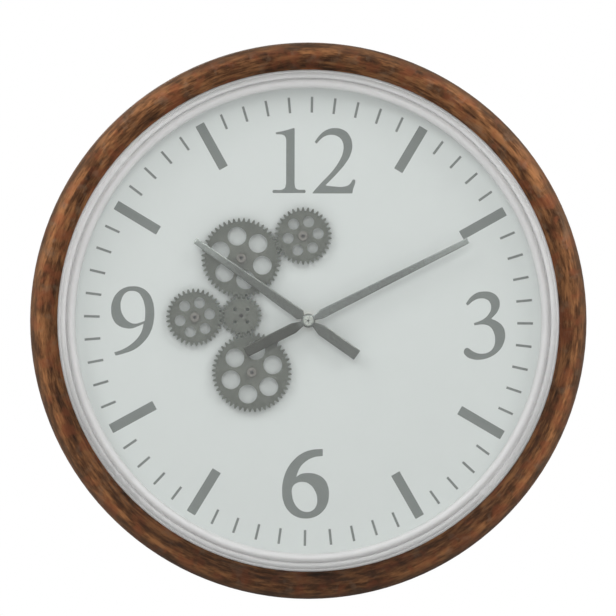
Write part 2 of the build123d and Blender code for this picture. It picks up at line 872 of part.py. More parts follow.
def setting_knob():
    """Fluted knob on the back whose pinion turns the hands when they are set."""
    knob_top = movement_rear_z - knob_gap
    head = Circle(knob_radius)
    for x, y, radius in around(knob_radius, knob_flutes, knob_flute_radius):
        head -= Pos(x, y) * Circle(radius)
    body = slab(head, knob_top - knob_height, knob_top)
    body += rod(knob_arbor_radius, knob_top, motion_wheel_z)
    motion_turn = mesh_turn(0, works_teeth, motion_direction, motion_teeth)
    turn = mesh_turn(motion_turn, motion_teeth, knob_direction, works_teeth)
    top = motion_wheel_z + works_wheel_thickness
    pinion = Rot(0, 0, turn) * works_gear(works_module, works_teeth, 0, motion_wheel_z, top)
    return placed(body + pinion, knob_centre, 0)


def cell():
    """Size AA cell along +x, centred on its length with its positive end to the right."""
    overall = cell_length + cell_nub_length
    can = Cylinder(cell_radius, cell_length, align=(Align.CENTER, Align.CENTER, Align.MIN))
    can = fillet(can.edges(), cell_edge_round)
    nub = Pos(0, 0, cell_length) * Cylinder(
        cell_nub_radius, cell_nub_length, align=(Align.CENTER, Align.CENTER, Align.MIN)
    )
    return Rot(0, 90, 0) * Pos(0, 0, -overall / 2) * (can + nub)


def contact():
    """Contact strip whose back is at x = 0 and whose round boss reaches in along +x to the cell."""
    half = contact_width / 2
    strip = block((0, contact_thickness), (-half, half), (-half, half))
    boss = Cylinder(cell_nub_radius, contact_bow, align=(Align.CENTER, Align.CENTER, Align.MIN))
    return strip + Pos(contact_thickness, 0, 0) * Rot(0, 90, 0) * boss


def movement_cell():
    return Pos(0, bay_middle, cell_z) * cell()


def movement_contacts():
    half = movement_width / 2 - movement_wall
    left = Pos(-half, bay_middle, cell_z) * contact()
    right = Pos(half, bay_middle, cell_z) * Rot(0, 0, 180) * contact()
    return [left, right]


# Outline and heights of the motor drive
gearbox_x = (drive_x + gearbox_right - gearbox_width, drive_x + gearbox_right)
bay_width = 4 * cell_radius + 3 * cell_room
bay_x = (gearbox_x[0] - drive_wall - bay_width, gearbox_x[0] - drive_wall)
bay_x_middle = (bay_x[0] + bay_x[1]) / 2
bay_y_middle = drive_y - gearbox_drop
bay_half = cell_half + contact_reach
bay_y = (bay_y_middle - bay_half, bay_y_middle + bay_half)
gearbox_y = (bay_y[0] - bay_margin, bay_y[1] + bay_margin)
drive_floor_z = board_rear_z - drive_wall
output_z = drive_floor_z - drive_wheel_gap - drive_wheel_thickness
idler_z = output_z - drive_wheel_gap - drive_wheel_thickness
motor_front_z = idler_z - drive_wheel_gap
cover_front_z = motor_front_z - motor_length
cover_rear_z = cover_front_z - drive_wall
drive_cell_z = drive_floor_z - cell_room - cell_radius
switch_x = gearbox_x[0] + switch_inset
switch_y = bay_y_middle + switch_rise
switch_flange_z = cover_front_z + end_float / 2


def ear_places():
    """Centres of the four screws that hold the drive to the dial board, over the bay and gearbox."""
    reach = drive_wall + ear_length / 2
    left = bay_x_middle
    right = sum(gearbox_x) / 2
    top = gearbox_y[1] + reach
    low = gearbox_y[0] - reach
    return [(left, low), (left, top), (right, low), (right, top)]


def cover_screw_places():
    """Centres of the gearbox cover's screws, in the corners of the gearbox."""
    inset = boss_wall / 2 + cover_screw_radius
    columns = (gearbox_x[0] + inset, gearbox_x[1] - inset)
    rows = (gearbox_y[0] + inset, gearbox_y[1] - inset)
    return [(x, y) for x in columns for y in rows]


def drive_case():
    """Open-backed box: the gearbox on the right and a bay for two cells on the left."""
    outer_x = (bay_x[0] - drive_wall, gearbox_x[1] + drive_wall)
    outer_y = (gearbox_y[0] - drive_wall, gearbox_y[1] + drive_wall)
    middle = (sum(outer_x) / 2, sum(outer_y) / 2)
    sides = (outer_x[1] - outer_x[0], outer_y[1] - outer_y[0])
    plan = Pos(*middle) * RectangleRounded(*sides, drive_corner)
    body = slab(plan, cover_front_z, board_rear_z)
    body -= block(gearbox_x, gearbox_y, (cover_front_z, drive_floor_z))
    body -= block(bay_x, bay_y, (cover_front_z, drive_floor_z))
    for place in ear_places():
        tab = Pos(*place) * RectangleRounded(ear_width, ear_length + drive_wall, drive_wall)
        body += slab(tab, drive_floor_z, board_rear_z)
    for place in ear_places():
        body -= rod(screw_shank_radius + fixed_gap, drive_floor_z, board_rear_z, place)
    for place in cover_screw_places():
        body += rod(boss_wall + cover_screw_radius, cover_front_z, drive_floor_z, place)
        depth = cover_screw_length - drive_wall
        body -= rod(cover_screw_radius + fixed_gap, cover_front_z, cover_front_z + depth, place)
    body -= rod(post_flange_radius + drop_in_gap, drive_floor_z, board_rear_z, left_centre)
    return body - rod(drive_bush_radius + fixed_gap, drive_floor_z, board_rear_z, drive_centre)


def drive_cover():
    """Plate over the gearbox with the motor's cup, the shaft bosses and the switch's slot."""
    x_range = (gearbox_x[0] - drive_wall, gearbox_x[1] + drive_wall)
    y_range = (gearbox_y[0] - drive_wall, gearbox_y[1] + drive_wall)
    plate = block(x_range, y_range, (cover_rear_z, cover_front_z))
    cup_bore = motor_radius + fixed_gap
    cup_top = cover_front_z + motor_cup_height
    plate += ring(cup_bore + motor_cup_wall, cup_bore, cover_front_z, cup_top, motor_centre)
    plate += ring(
        drive_shaft_radius + running_gap + boss_wall,
        drive_shaft_radius + running_gap,
        cover_front_z,
        idler_z - end_float - drive_wheel_gap,
        drive_centre,
    )
    plate += ring(
        idler_pin_radius + fixed_gap + boss_wall,
        idler_pin_radius + fixed_gap,
        cover_front_z,
        idler_z - end_float,
        idler_centre,
    )
    for place in cover_screw_places():
        plate -= rod(cover_screw_radius + fixed_gap, cover_rear_z, cover_front_z, place)
    slot_length = switch_tongue_length + switch_travel + 2 * end_float
    slot_width = switch_tongue_width + 2 * end_float
    slot = Pos(switch_x, switch_y, cover_rear_z) * Rectangle(slot_width, slot_length)
    return plate - extrude(slot, drive_wall)


def drive_bush():
    """Flanged bearing of the drive shaft, put through the dial from the front."""
    bore = drive_shaft_radius + running_gap
    flange_top = face_z + drive_bush_flange
    barrel = ring(drive_bush_radius, bore, drive_floor_z, face_z, drive_centre)
    return barrel + ring(drive_bush_flange_radius, bore, face_z, flange_top, drive_centre)


def drive_shaft():
    low = cover_front_z + end_float
    return rod(drive_shaft_radius, low, hub_front_z, drive_centre)


def drive_small_gear(module, teeth, bore, low, high, turn):
    """Small straight-flanked gear of the motor drive between two heights."""
    face = gear_face(module, teeth, drive_thinning, False, [(0, 0, bore)])
    return Rot(0, 0, turn) * slab(face, low, high)


output_turn = 0.0
idler_pinion_turn = mesh_turn(output_turn, output_teeth, idler_direction, pinion_teeth)
idler_wheel_turn = 0.0
motor_turn = mesh_turn(idler_wheel_turn, idler_teeth, motor_direction, pinion_teeth)


def output_wheel():
    bore = drive_shaft_radius + fixed_gap
    wheel = drive_small_gear(
        output_module, output_teeth, bore, output_z, output_z + drive_wheel_thickness, output_turn
    )
    return placed(wheel, drive_centre, 0)


def idler_wheel():
    """Middle wheel of the drive, with the pinion that turns the output wheel."""
    bore = idler_pin_radius + running_gap
    top = idler_z + drive_wheel_thickness
    wheel = drive_small_gear(idler_module, idler_teeth, bore, idler_z, top, idler_wheel_turn)
    pinion = drive_small_gear(
        output_module, pinion_teeth, bore, top, drive_floor_z - end_float, idler_pinion_turn
    )
    return placed(wheel + pinion, idler_centre, 0)


def idler_pin():
    return rod(idler_pin_radius, cover_front_z, drive_floor_z, idler_centre)


def motor():
    """Round motor can, seated in the cover's cup."""
    can = rod(motor_radius, cover_front_z, motor_front_z, motor_centre)
    return can - rod(motor_shaft_radius + running_gap, cover_front_z, motor_front_z, motor_centre)


def motor_pinion():
    """Motor shaft with its pinion, on the idler wheel's level."""
    top = idler_z + drive_wheel_thickness
    shaft = rod(motor_shaft_radius, cover_front_z + end_float, idler_z)
    face = gear_face(idler_module, pinion_teeth, drive_thinning, False, [])
    pinion = Rot(0, 0, motor_turn) * slab(face, idler_z, top)
    return placed(shaft + pinion, motor_centre, 0)


def drive_cell(side):
    """One of the two cells, standing upright in the bay and facing the other way from its mate."""
    x = bay_x_middle + side * (cell_radius + cell_room / 2)
    return Pos(x, bay_y_middle, drive_cell_z) * Rot(0, 0, 90 * side) * cell()


def drive_contacts():
    """A contact at each end of both cells."""
    strips = []
    for side in (-1, 1):
        x = bay_x_middle + side * (cell_radius + cell_room / 2)
        for y, turn in ((bay_y[0], 90), (bay_y[1], -90)):
            strips.append(Pos(x, y, drive_cell_z) * Rot(0, 0, turn) * contact())
    return strips


def power_switch():
    """Slider with its flange inside the cover and its tongue through the slot, at the off end."""
    y = switch_y - switch_travel / 2
    flange = Rectangle(switch_width, switch_flange_length)
    body = extrude(Pos(switch_x, y, switch_flange_z) * flange, switch_flange_thickness)
    tongue_low = cover_rear_z - switch_tongue_proud
    tongue = Rectangle(switch_tongue_width, switch_tongue_length)
    return body + extrude(Pos(switch_x, y, tongue_low) * tongue, switch_flange_z - tongue_low)


def switch_body():
    """Cage behind the slider, seated on the cover, with its contacts' block."""
    channel_width = switch_width + 2 * end_float
    channel_length = switch_flange_length + switch_travel + 2 * end_float
    outside = Rectangle(channel_width + 2 * switch_body_wall, channel_length + 2 * switch_body_wall)
    cage = extrude(Pos(switch_x, switch_y, cover_front_z) * outside, switch_body_height)
    channel = Rectangle(channel_width, channel_length)
    depth = switch_flange_thickness + end_float
    return cage - extrude(Pos(switch_x, switch_y, cover_front_z) * channel, depth)


def ear_screws():
    body = screw(screw_shank_radius, ear_screw_length, screw_head_radius, screw_head_height)
    return [Pos(*place, drive_floor_z) * body for place in ear_places()]


def cover_screws():
    body = screw(cover_screw_radius, cover_screw_length, cover_screw_head_radius, cover_screw_head)
    return [Pos(*place, cover_rear_z) * body for place in cover_screw_places()]


def all_pieces():
    """Every piece under its name: one solid, or a list of like solids."""
    large = idle_gear(large_teeth, large_hub_radius, large_rim_web, large_spoke_web)
    small = idle_gear(small_teeth, small_hub_radius, small_rim_web, small_spoke_web)
    post = gear_post()
    centres = post_centres.values()
    pieces = {
        "wood_frame": wood_frame(),
        "glass_seal": glass_seal(),
        "front_glass": front_glass(),
        "stepped_ring": stepped_ring(),
        "dial_face": dial_sheet(board_front_z, face_z),
        "dial_board": dial_board(),
        "board_clips": [Rot(0, 0, angle) * clip() for angle in clip_angles],
        "board_clip_screws": [Rot(0, 0, angle) * clip_screw() for angle in clip_angles],
        "hanger_plate": hanger_plate(),
        "hanger_screws": [Pos(*place) * hanger_screw() for place in hanger_screw_places],
        "upper_gear": placed(large, upper_centre, upper_turn),
        "lower_gear": placed(large, lower_centre, lower_turn),
        "left_gear": placed(small, left_centre, left_turn),
        "top_gear": placed(small, top_centre, top_turn),
        "drive_gear": placed(drive_gear(), drive_centre, drive_turn),
        "gear_post_spacers": [placed(post_spacer(), centre, 0) for centre in centres],
        "gear_post_caps": [placed(post_cap(), centre, 0) for centre in centres],
        "minute_hand": minute_hand(),
        "hour_hand": hour_hand(),
        "hand_nut": hand_nut(),
        "minute_arbor": minute_arbor(),
        "hour_wheel": hour_wheel(),
        "motion_wheel": motion_wheel(),
        "setting_knob": setting_knob(),
        "movement_front_case": movement_front_case(),
        "movement_rear_case": movement_rear_case(),
        "movement_gasket": movement_gasket(),
        "movement_washer": movement_washer(),
        "movement_nut": movement_nut(),
        "movement_cell": movement_cell(),
        "movement_contacts": movement_contacts(),
        "circuit_board": circuit_board(),
        "step_motor_coil": step_motor_coil(),
        "drive_case": drive_case(),
        "drive_cover": drive_cover(),
        "drive_bush": drive_bush(),
        "drive_shaft": drive_shaft(),
        "output_wheel": output_wheel(),
        "idler_wheel": idler_wheel(),
        "idler_pin": idler_pin(),
        "drive_motor": motor(),
        "motor_pinion": motor_pinion(),
        "drive_cell_left": drive_cell(-1),
        "drive_cell_right": drive_cell(1),
        "drive_contacts": drive_contacts(),
        "power_switch": power_switch(),
        "switch_body": switch_body(),
        "drive_screws": ear_screws(),
        "drive_cover_screws": cover_screws(),
    }
    for name, centre in post_centres.items():
        pieces[name + "_gear_post"] = placed(post, centre, 0)
    return pieces


def main():
    os.makedirs("parts", exist_ok=True)
    upright = Rot(90, 0, 0)
    for name, piece in all_pieces().items():
        solids = piece if isinstance(piece, list) else [piece]
        stood = [upright * solid for solid in solids]
        shape = Compound(children=stood) if len(stood) > 1 else stood[0]
        export_step(shape, f"parts/{name}.step")


main()
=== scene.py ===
"""Looks of a round wall clock with moving gears: finishes, dial print and stage."""

import math

import bmesh
import bpy
from mathutils import Matrix, Vector


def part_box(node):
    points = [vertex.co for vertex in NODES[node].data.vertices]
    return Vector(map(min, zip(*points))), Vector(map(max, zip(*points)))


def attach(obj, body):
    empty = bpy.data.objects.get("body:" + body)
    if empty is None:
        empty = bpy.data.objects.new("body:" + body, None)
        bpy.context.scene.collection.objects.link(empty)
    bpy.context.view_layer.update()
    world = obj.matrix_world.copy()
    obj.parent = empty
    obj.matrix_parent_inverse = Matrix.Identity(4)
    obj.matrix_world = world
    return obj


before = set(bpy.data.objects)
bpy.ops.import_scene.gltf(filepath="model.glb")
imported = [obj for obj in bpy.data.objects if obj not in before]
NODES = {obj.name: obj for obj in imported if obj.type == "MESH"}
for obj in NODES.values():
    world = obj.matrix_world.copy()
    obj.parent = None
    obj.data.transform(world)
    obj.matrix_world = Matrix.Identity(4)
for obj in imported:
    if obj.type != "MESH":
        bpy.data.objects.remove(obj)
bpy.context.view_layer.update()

bl_info = {
    "name": "Gear wall clock",
    "version": (1, 0, 0),
    "blender": (4, 5, 0),
    "location": "3D View > Sidebar > Clock",
    "description": "Finishes, dial print and stage of a round wall clock with moving gears",
    "category": "Object",
}

MM = 0.001
FACE_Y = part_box("dial_face")[0].y
RIM_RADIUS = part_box("wood_frame")[1].x
RIM_FRONT_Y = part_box("wood_frame")[0].y


# Sizes and colours that a user would change

def length(name, description, default):
    """A size in metres, written in millimetres."""
    return bpy.props.FloatProperty(
        name=name, description=description, default=default * MM, unit="LENGTH", precision=5
    )


def colour(name, description, red, green, blue):
    """A colour written in the 0 to 255 steps of a screen."""
    steps = [step / 255 for step in (red, green, blue)]
    linear = [s / 12.92 if s <= 0.04045 else ((s + 0.055) / 1.055) ** 2.4 for s in steps]
    return bpy.props.FloatVectorProperty(
        name=name, description=description, default=linear, subtype="COLOR", size=3, min=0, max=1
    )


class ClockPrint(bpy.types.PropertyGroup):
    """Sizes of the marks printed on the dial."""

    ink: length("Ink thickness", "Height of the print above the dial", 0.06)
    turn: bpy.props.FloatProperty(
        name="Turn", description="Turn of the hour marks, clockwise", default=math.radians(0.93),
        subtype="ANGLE",
    )
    pitch: bpy.props.FloatProperty(
        name="Pitch", description="Angle from one minute mark to the next, a little short as laid",
        default=math.radians(5.975), subtype="ANGLE",
    )
    centre_x: length("Centre across", "Where the print's middle lies beside the hands' axis", 0.1)
    centre_z: length("Centre up", "Where the print's middle lies above the hands' axis", -0.6)
    tick_inner: length("Tick start", "Radius where a minute tick starts", 195.8)
    tick_outer: length("Tick end", "Radius where a minute tick ends", 210.6)
    tick_width: length("Tick width", "Width of a minute tick", 2.3)
    bar_inner: length("Bar start", "Radius where an hour bar starts", 164.4)
    bar_outer: length("Bar end", "Radius where an hour bar ends", 210.9)
    bar_width: length("Bar width", "Width of an hour bar", 9.0)


class ClockColours(bpy.types.PropertyGroup):
    """Colours of the finishes."""

    wood_dark: colour("Dark wood", "Dark streaks of the rim", 44, 27, 16)
    wood_mid: colour("Wood", "Main colour of the rim", 92, 60, 37)
    wood_light: colour("Light wood", "Pale streaks of the rim", 153, 104, 66)
    wood_red: colour("Red wood", "Reddish patches of the rim", 134, 74, 47)
    wood_grey: colour("Grey wood", "Worn, greyish patches of the rim", 130, 106, 86)
    silver: colour("Silver", "Lacquer of the stepped ring", 220, 219, 219)
    dial: colour("Dial", "Ground of the dial", 212, 217, 215)
    ink: colour("Ink", "Print on the dial", 111, 117, 114)
    gear: colour("Gear", "Plastic of the gears", 91, 95, 87)
    gear_edge: colour("Gear edge", "Plastic of the gears towards their teeth", 78, 83, 75)
    hand: colour("Hand", "Lacquer of the minute hand", 103, 108, 105)
    # The hand tip and hand tail colours paint a sheen and a shade along the hands
    hand_tip_sheen: colour("Hand tip", "Lacquer of the hands towards their tips", 135, 141, 137)
    hand_tail_shade: colour("Hand tail", "Lacquer of the minute hand's tail", 59, 62, 56)
    hour_hand: colour("Hour hand", "Lacquer of the hour hand", 88, 92, 88)
    nut: colour("Nut", "Plated nut on the hands' axis", 166, 171, 164)
    cap: colour("Cap", "Caps on the gear posts", 110, 108, 102)
    board: colour("Board", "Fibreboard behind the dial", 150, 118, 84)
    black: colour("Black", "Cases of the movement and the drive", 30, 31, 33)
    works: colour("Works", "Moulded wheels of the works", 222, 218, 204)
    steel: colour("Steel", "Plated steel", 190, 191, 193)
    # Near black: blackened steel that also paints the shade in the hollow posts and in the nut's hole
    dark_steel_and_shade: colour("Dark steel", "Blackened steel of the posts and the arbor", 20, 20, 20)
    brass: colour("Brass", "Turned brass", 205, 174, 108)
    rubber: colour("Rubber", "Seal and gasket", 34, 34, 35)
    knob: colour("Knob", "Knob that sets the hands", 176, 176, 172)
    wrap: colour("Wrap", "Wrap of the cells", 52, 84, 88)
    wrap_band: colour("Wrap band", "Band of the cells at their positive end", 192, 194, 192)
    circuit: colour("Circuit", "Circuit board", 40, 96, 62)
    copper: colour("Copper", "Winding of the coil", 176, 96, 52)


class ClockStage(bpy.types.PropertyGroup):
    """Camera, light and floor."""

    distance: length("Distance", "From the camera to the rim's front", 8000)
    picture_width: length("Picture width", "Width that the picture shows at the rim's front", 574.9)
    centre_x: length("Centre across", "Where the picture's middle lies beside the hands' axis", -0.32)
    centre_z: length("Centre up", "Where the picture's middle lies above the hands' axis", 11.87)
    floor_drop: length("Floor drop", "From the rim's lowest point down to the floor", 120)
    floor_reach: length("Floor reach", "Half of the floor's width", 9000)
    front_level: bpy.props.FloatProperty(
        name="Front lamp", description="Strength of the soft lamp over the camera", default=0.2
    )
    side_level: bpy.props.FloatProperty(
        name="Side lamps", description="Strength of the soft lamps at the upper left and right", default=0.23
    )
    back_level: bpy.props.FloatProperty(
        name="Back lamp", description="Strength of the soft lamp behind the clock", default=0.4
    )
    world_level: bpy.props.FloatProperty(
        name="World", description="Strength of the light from all round", default=0.42
    )


# Shader expressions

class Link:
    """Output socket of a shader node that Python's operators work on."""

    def __init__(self, sheet, socket):
        self.sheet = sheet
        self.socket = socket

    def __add__(self, other):
        return self.sheet.math("ADD", self, other)

    def __radd__(self, other):
        return self.sheet.math("ADD", other, self)

    def __sub__(self, other):
        return self.sheet.math("SUBTRACT", self, other)

    def __rsub__(self, other):
        return self.sheet.math("SUBTRACT", other, self)

    def __mul__(self, other):
        return self.sheet.math("MULTIPLY", self, other)

    def __rmul__(self, other):
        return self.sheet.math("MULTIPLY", other, self)

    def __truediv__(self, other):
        return self.sheet.math("DIVIDE", self, other)

    def __pow__(self, other):
        return self.sheet.math("POWER", self, other)

    def parts(self):
        """The three numbers of a vector."""
        node = self.sheet.add("ShaderNodeSeparateXYZ", {}, {0: self})
        return [Link(self.sheet, socket) for socket in node.outputs]

    def step(self, low, high):
        """0 below low and 1 above high, smooth between them; the other way round if low is higher."""
        settings = {"interpolation_type": "SMOOTHSTEP"}
        sockets = {"Value": self, "From Min": min(low, high), "From Max": max(low, high)}
        ends = (0.0, 1.0) if low < high else (1.0, 0.0)
        sockets.update({"To Min": ends[0], "To Max": ends[1]})
        return self.sheet.link("ShaderNodeMapRange", settings, sockets)


class Sheet:
    """Node sheet of one finish, or of the world."""

    def __init__(self, owner):
        owner.use_nodes = True
        self.owner = owner
        self.tree = owner.node_tree
        self.tree.nodes.clear()

    def add(self, kind, settings, sockets):
        """A node of a kind, with its settings first and then its sockets' values or links."""
        node = self.tree.nodes.new(kind)
        for key, value in settings.items():
            if key == "stops":
                self.set_stops(node.color_ramp, value)
            else:
                setattr(node, key, value)
        for key, value in sockets.items():
            if isinstance(value, Link):
                self.tree.links.new(value.socket, node.inputs[key])
            else:
                node.inputs[key].default_value = value
        return node

    def set_stops(self, ramp, stops):
        """Gives a colour ramp its places and colours."""
        while len(ramp.elements) < len(stops):
            ramp.elements.new(1.0)
        for element, (place, tone) in zip(ramp.elements, stops):
            element.position = place
            element.color = (*tone, 1.0)

    def link(self, kind, settings, sockets, out=0):
        """One output of a new node, ready for use in an expression."""
        return Link(self, self.add(kind, settings, sockets).outputs[out])

    def math(self, operation, *values):
        return self.link("ShaderNodeMath", {"operation": operation}, dict(enumerate(values)))

    def place(self):
        """Coordinates in the object's own frame, in metres."""
        return self.link("ShaderNodeTexCoord", {}, {}, "Object")

    def vector(self, x, y, z):
        return self.link("ShaderNodeCombineXYZ", {}, {0: x, 1: y, 2: z})

    def noise(self, vector, scale, detail=3.0, roughness=0.55, w=None):
        """Noise about 0.5 at a place in space, or in four dimensions if w is given."""
        sockets = {"Vector": vector, "Scale": scale, "Detail": detail, "Roughness": roughness}
        if w is not None:
            sockets["W"] = w
        dimensions = "3D" if w is None else "4D"
        return self.link("ShaderNodeTexNoise", {"noise_dimensions": dimensions}, sockets)

    def ramp(self, value, *stops):
        return self.link("ShaderNodeValToRGB", {"stops": stops}, {0: value})

    def mix(self, first, second, share, blend="MIX"):
        """Two colours mixed by a share."""
        settings = {"data_type": "RGBA", "blend_type": blend}
        sockets = {0: share, 6: self.rgba(first), 7: self.rgba(second)}
        return self.link("ShaderNodeMix", settings, sockets, 2)

    def shaded(self, tone, level):
        """A colour made lighter or darker by a number that varies."""
        grey = self.link("ShaderNodeCombineColor", {}, {0: level, 1: level, 2: level})
        return self.mix(tone, grey, 1.0, "MULTIPLY")

    def rgba(self, tone):
        """A colour as a socket takes it."""
        return tone if isinstance(tone, Link) else (*tone, 1.0)

    def bump(self, height, strength, depth):
        """Normals of a surface with small hills as deep as given, in metres."""
        sockets = {"Height": height, "Strength": strength, "Distance": depth}
        return self.link("ShaderNodeBump", {}, sockets)

    def surface(self, base, sockets):
        """The finish itself, from its colour and the other sockets of its surface shader."""
        sockets = {"Base Color": self.rgba(base), **sockets}
        shader = self.link("ShaderNodeBsdfPrincipled", {}, sockets)
        return self.output(shader)

    def output(self, shader):
        self.add("ShaderNodeOutputMaterial", {}, {"Surface": shader})
        return self.owner

    def ray(self, *kinds):
        """1 for rays of these kinds and 0 for others."""
        path = self.add("ShaderNodeLightPath", {}, {})
        found = [Link(self, path.outputs[kind]) for kind in kinds]
        mask = found[0]
        for other in found[1:]:
            mask = self.math("MAXIMUM", mask, other)
        return mask


def finish(name):
    """A fresh node sheet for a named finish."""
    return Sheet(bpy.data.materials.new(name))


def dress(material, *names):
    """Gives a finish to CAD nodes by name."""
    for name in names:
        mesh = NODES[name].data
        mesh.materials.clear()
        mesh.materials.append(material)


def mesh_piece(name, mesh, material, body):
    """A new piece of the object that rides on a body."""
    piece = bpy.data.objects.new(name, mesh)
    bpy.context.scene.collection.objects.link(piece)
    mesh.materials.clear()
    mesh.materials.append(material)
    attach(piece, body)
    return piece


# Finishes

# Layers of the wood's grain: how often each changes along the rim and across it, per metre, and its detail
WOOD_STREAKS = (24.0, 130.0, 4.0)
WOOD_BLOTCHES = (50.0, 125.0, 3.0)
WOOD_FIBRES = (75.0, 480.0, 3.0)

# Where the rim's tone changes, from its outer edge inwards: the darker inner half, and the greyed edge with
# painted shade
DARK_HALF_FROM = 8 * MM
DARK_HALF_TO = 16 * MM
GREY_SHADED_EDGE = 10 * MM

# Where the ring's outer lip starts
LIP_RADIUS = 227.5 * MM

# Fine grain of the finishes, in noise steps per metre
FINE_GRIT = 900.0
CASE_GRIT = 1600.0
LACQUER_GRIT = 1400.0
RING_GRIT = 2600.0
BOARD_FLECKS = 700.0
TURNING_MARKS = 1800.0

# From one turn of the coil's wire to the next
WIRE_PITCH = 0.3 * MM

# The glass as seen, and what it takes from the lamps' light
GLASS_TINT = (0.985, 0.99, 0.988, 1.0)
GLASS_SHADE = (0.95, 0.955, 0.953, 1.0)
GLASS_IOR = 1.45

# Shares of a cell's length where its printed band starts and where bare metal starts at either end
BAND_START = 0.7
BARE_HEAD = 0.962
BARE_FOOT = 0.014


def stained_wood(tones):
    """Brushed, stained wood whose grain runs round the rim, darker in the rim's inner half, with painted
    shade and light by height and at the edge.
    """
    sheet = finish("stained_wood")
    place = sheet.place()
    x, y, z = place.parts()
    radius = (x * x + z * z) ** 0.5

    def grain(along, across, detail):
        """Noise stretched round the rim."""
        turn = along * RIM_RADIUS
        vector = sheet.vector(x / radius * turn, z / radius * turn, radius * across)
        return sheet.noise(vector, 1.0, detail, 0.6, y * across)

    streaks = grain(*WOOD_STREAKS)
    blotches = grain(*WOOD_BLOTCHES)
    fibres = grain(*WOOD_FIBRES)
    tone = streaks * 0.75 + blotches * 0.4 + fibres * 0.55 - 0.345
    base = sheet.ramp(
        tone, (0.3, tones.wood_dark), (0.47, tones.wood_mid), (0.64, tones.wood_light)
    )
    base = sheet.mix(base, tones.wood_red, sheet.noise(place, 60.0, 3.0).step(0.48, 0.64) * 0.5)
    base = sheet.mix(base, tones.wood_grey, sheet.noise(place, 85.0, 3.0).step(0.52, 0.7) * 0.35)
    crown = radius.step(RIM_RADIUS - DARK_HALF_TO, RIM_RADIUS - DARK_HALF_FROM)
    # Towards the outer edge the wood turns greyer and, as painted shade, darker
    outer = radius.step(RIM_RADIUS - GREY_SHADED_EDGE, RIM_RADIUS)
    base = sheet.mix(base, tones.wood_grey, outer * 0.35)
    # Painted shade and light by height: darker at the foot and at the head, lighter on the upper half
    foot = z.step(RIM_RADIUS * -0.5, RIM_RADIUS * -1.0)
    head = z.step(RIM_RADIUS * 0.78, RIM_RADIUS * 0.95)
    upper = z.step(RIM_RADIUS * -0.2, RIM_RADIUS * 0.4)
    painted_shade_and_light = (1.0 - foot * 0.5) * (1.0 - head * 0.3) * (upper * 0.3 + 0.87)
    base = sheet.shaded(base, (crown * 0.5 + 0.7) * (1.0 - outer * 0.4) * painted_shade_and_light)
    roughness = fibres * 0.3 + 0.42
    normal = sheet.bump(fibres * 0.7 + blotches * 0.6, 0.6, 0.5 * MM)
    sockets = {"Roughness": roughness, "Normal": normal, "Specular IOR Level": 0.1}
    return sheet.surface(base, sockets)


def silver_lacquer(tones):
    """Sprayed silver lacquer with a fine grit, with painted light on the upper half of the ring's lip and
    painted shade on its lower half.
    """
    sheet = finish("silver_lacquer")
    place = sheet.place()
    x, _, z = place.parts()
    lip = ((x * x + z * z) ** 0.5).step(LIP_RADIUS - MM, LIP_RADIUS + MM)
    low = z.step(RIM_RADIUS * 0.1, RIM_RADIUS * -0.5)
    cloud = sheet.noise(place, 30.0, 3.0)
    grit = sheet.noise(place, RING_GRIT, 2.0)
    # Painted light on the lip's upper half and painted shade on its lower half
    base = sheet.shaded(tones.silver, (cloud * 0.12 + 0.94) * (lip * (0.13 - low * 0.36) + 1.0))
    normal = sheet.bump(grit, 0.12, 0.05 * MM)
    return sheet.surface(base, {"Metallic": 0.1, "Roughness": grit * 0.12 + 0.5, "Normal": normal})


def clear_glass():
    """Window glass that lets the lamps' light through to the dial."""
    sheet = finish("clear_glass")
    through = sheet.ray("Is Shadow Ray", "Is Diffuse Ray")
    sockets = {"Base Color": GLASS_TINT, "Transmission Weight": 1.0, "Roughness": 0.0, "IOR": GLASS_IOR}
    glass = sheet.link("ShaderNodeBsdfPrincipled", {}, sockets)
    clear = sheet.link("ShaderNodeBsdfTransparent", {}, {"Color": GLASS_SHADE})
    return sheet.output(sheet.link("ShaderNodeMixShader", {}, {0: through, 1: glass, 2: clear}))


def satin(name, tone, roughness, metallic=0.0, grit_scale=FINE_GRIT, grit_depth=0.04, cloud=0.1):
    """Moulded or lacquered surface: a fine grain, and a tone that drifts a little."""
    sheet = finish(name)
    place = sheet.place()
    drift = sheet.noise(place, 55.0, 3.0)
    grit = sheet.noise(place, grit_scale, 2.0)
    base = sheet.shaded(tone, drift * (cloud * 2) + (1.0 - cloud))
    normal = sheet.bump(grit, 0.25, grit_depth * MM)
    rough = grit * 0.16 + (roughness - 0.08)
    return sheet.surface(base, {"Metallic": metallic, "Roughness": rough, "Normal": normal})


def fibreboard(tones):
    """Pressed wood fibres: flecks of light and dark on a brown ground."""
    sheet = finish("fibreboard")
    place = sheet.place()
    flecks = sheet.noise(place, BOARD_FLECKS, 4.0, 0.7)
    cloud = sheet.noise(place, 14.0, 3.0)
    base = sheet.shaded(tones.board, flecks * 0.9 + cloud * 0.3 + 0.4)
    normal = sheet.bump(flecks, 0.3, 0.15 * MM)
    return sheet.surface(base, {"Roughness": flecks * 0.2 + 0.75, "Normal": normal})


def cell_wrap(name, tones, axis, forward):
    """Printed wrap of a dry cell with a band at its positive end, and bare metal at both ends."""
    low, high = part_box(name)
    sheet = finish(name + "_wrap")
    place = sheet.place()
    along = (place.parts()[axis] - low[axis]) / (high[axis] - low[axis])
    share = along if forward else 1.0 - along
    band = share.step(BAND_START, BAND_START + 0.01)
    head = share.step(BARE_HEAD, BARE_HEAD + 0.004)
    foot = share.step(BARE_FOOT, BARE_FOOT - 0.004)
    bare = sheet.math("MAXIMUM", head, foot)
    base = sheet.mix(sheet.mix(tones.wrap, tones.wrap_band, band), tones.steel, bare)
    scuffs = sheet.noise(place, 300.0, 3.0)
    base = sheet.shaded(base, scuffs * 0.2 + 0.9)
    metal = sheet.math("MAXIMUM", band * 0.6, bare)
    return sheet.surface(base, {"Metallic": metal, "Roughness": scuffs * 0.2 + 0.22})


